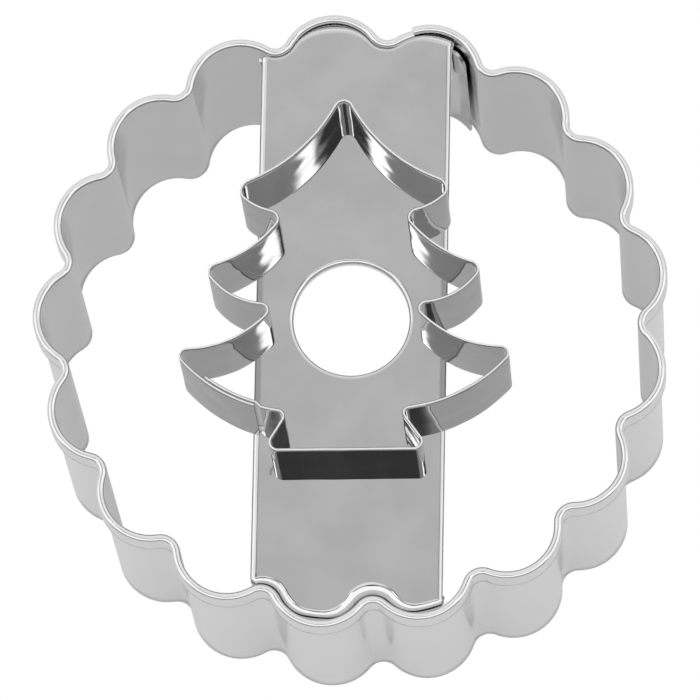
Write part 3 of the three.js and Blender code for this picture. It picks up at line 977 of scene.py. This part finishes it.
# each new piece rides on the one body and stands for its solid; the welds stay as they are
for piece, node, slot in (
    (ringStrip, "ring_strip", "ring_steel"),
    (bridgePlate, "bridge_plate", "bridge_steel"),
    (treeStrip, "tree_strip", "tree_steel"),
):
    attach(piece, "root")
    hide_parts(node)
for name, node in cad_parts.items():
    if "weld" in name:
        node.data.materials.clear()
        node.data.materials.append(weldMetal)
        node.visible_glossy = False  # nor do the welds show mirrored in the bridge

# stage: white floor and a soft studio round a dark ceiling
floorStage = {"half": 1.5, "albedo": (0.90, 0.90, 0.90, 1.0), "glow": 1.0, "glowShare": 0.35}
plainWhite = (1.0, 1.0, 1.0, 1.0)
studio = {  # each pair is the stretch of a direction's height or depth over which a level comes in
    "sky": 1.0,
    "back": {"level": 0.8, "depth": (0.20, 0.40), "height": (0.98, 0.94)},
    "horizon": {"level": 0.35, "height": (0.24, 0.12)},
    "darkRoom": {"level": 0.30, "depth": (-0.35, -0.55), "height": (0.56, 0.46)},  # behind the photographer
    "lampRing": {"level": 0.42, "inner": (0.990, 0.983), "outer": (0.930, 0.942)},
    "panelTilt": math.radians(15.7),
    "panels": [  # bearing, half width outside and inside, all in degrees, and level
        (262, 8.0, 5.5, 0.07),
        (24, 5.6, 4.0, 0.06),
        (140, 5.6, 4.0, 0.06),
        (-9, 3.6, 1.8, 2.7),
        (168, 3.6, 1.8, 2.7),
        (100, 7.0, 4.6, 0.59),
    ],
}


def shownBy(tree, ray, share, shader, kind, strength):  # one kind of ray sees a plain glow instead
    seen = calc(tree, "MULTIPLY", addNode(tree, "ShaderNodeLightPath").outputs[ray], share)
    glow = addNode(tree, kind, {"Color": plainWhite, "Strength": strength}).outputs[0]
    return addNode(tree, "ShaderNodeMixShader", {0: seen, 1: shader, 2: glow}).outputs[0]


def makeFloor():
    half = floorStage["half"]
    mesh = bpy.data.meshes.new("floor")
    corners = [(-half, -half, 0), (half, -half, 0), (half, half, 0), (-half, half, 0)]
    mesh.from_pydata(corners, [], [(0, 1, 2, 3)])
    floor = bpy.data.objects.new("floor", mesh)
    scene.collection.objects.link(floor)
    material, tree = newMaterial("floorWhite")
    matt = addNode(tree, "ShaderNodeBsdfDiffuse", {"Color": floorStage["albedo"]}).outputs[0]
    share, glow = floorStage["glowShare"], floorStage["glow"]
    mirrored = shownBy(tree, "Is Glossy Ray", share, matt, "ShaderNodeEmission", glow)
    white = shownBy(tree, "Is Camera Ray", 1.0, mirrored, "ShaderNodeEmission", 1.0)
    addNode(tree, "ShaderNodeOutputMaterial", {"Surface": white})
    mesh.materials.append(material)


def makeStudio():
    world = bpy.data.worlds.new("studio")
    scene.world = world
    world.use_nodes = True
    tree = world.node_tree
    tree.nodes.clear()
    heading = addNode(tree, "ShaderNodeTexCoord").outputs["Generated"]
    axes = addNode(tree, "ShaderNodeSeparateXYZ", {"Vector": heading}).outputs
    back, horizon, darkRoom = studio["back"], studio["horizon"], studio["darkRoom"]
    lampRing, tilt = studio["lampRing"], studio["panelTilt"]

    def within(part):
        depth = ramp(tree, axes["Y"], *part["depth"])
        return calc(tree, "MULTIPLY", depth, ramp(tree, axes["Z"], *part["height"]))

    level = ramp(tree, within(back), 0.0, 1.0, studio["sky"], back["level"])
    level = toward(tree, level, horizon["level"], ramp(tree, axes["Z"], *horizon["height"]))
    level = toward(tree, level, darkRoom["level"], within(darkRoom))
    inside = ramp(tree, axes["Z"], *lampRing["inner"])
    outside = ramp(tree, axes["Z"], *lampRing["outer"])
    level = toward(tree, level, lampRing["level"], calc(tree, "MULTIPLY", inside, outside))
    for bearing, outer, inner, strength in studio["panels"]:
        turn = math.radians(bearing)
        middle = (math.sin(tilt) * math.cos(turn), math.sin(tilt) * math.sin(turn), math.cos(tilt))
        near = addNode(tree, "ShaderNodeVectorMath", {0: heading, 1: middle}, operation="DOT_PRODUCT")
        limits = [math.cos(math.radians(width)) for width in (outer, inner)]
        level = toward(tree, level, strength, ramp(tree, near.outputs["Value"], *limits))
    light = addNode(tree, "ShaderNodeBackground", {"Color": plainWhite, "Strength": level}).outputs[0]
    white = shownBy(tree, "Is Camera Ray", 1.0, light, "ShaderNodeBackground", 1.0)
    addNode(tree, "ShaderNodeOutputWorld", {"Surface": white})


makeFloor()
makeStudio()
print("stage and light made")
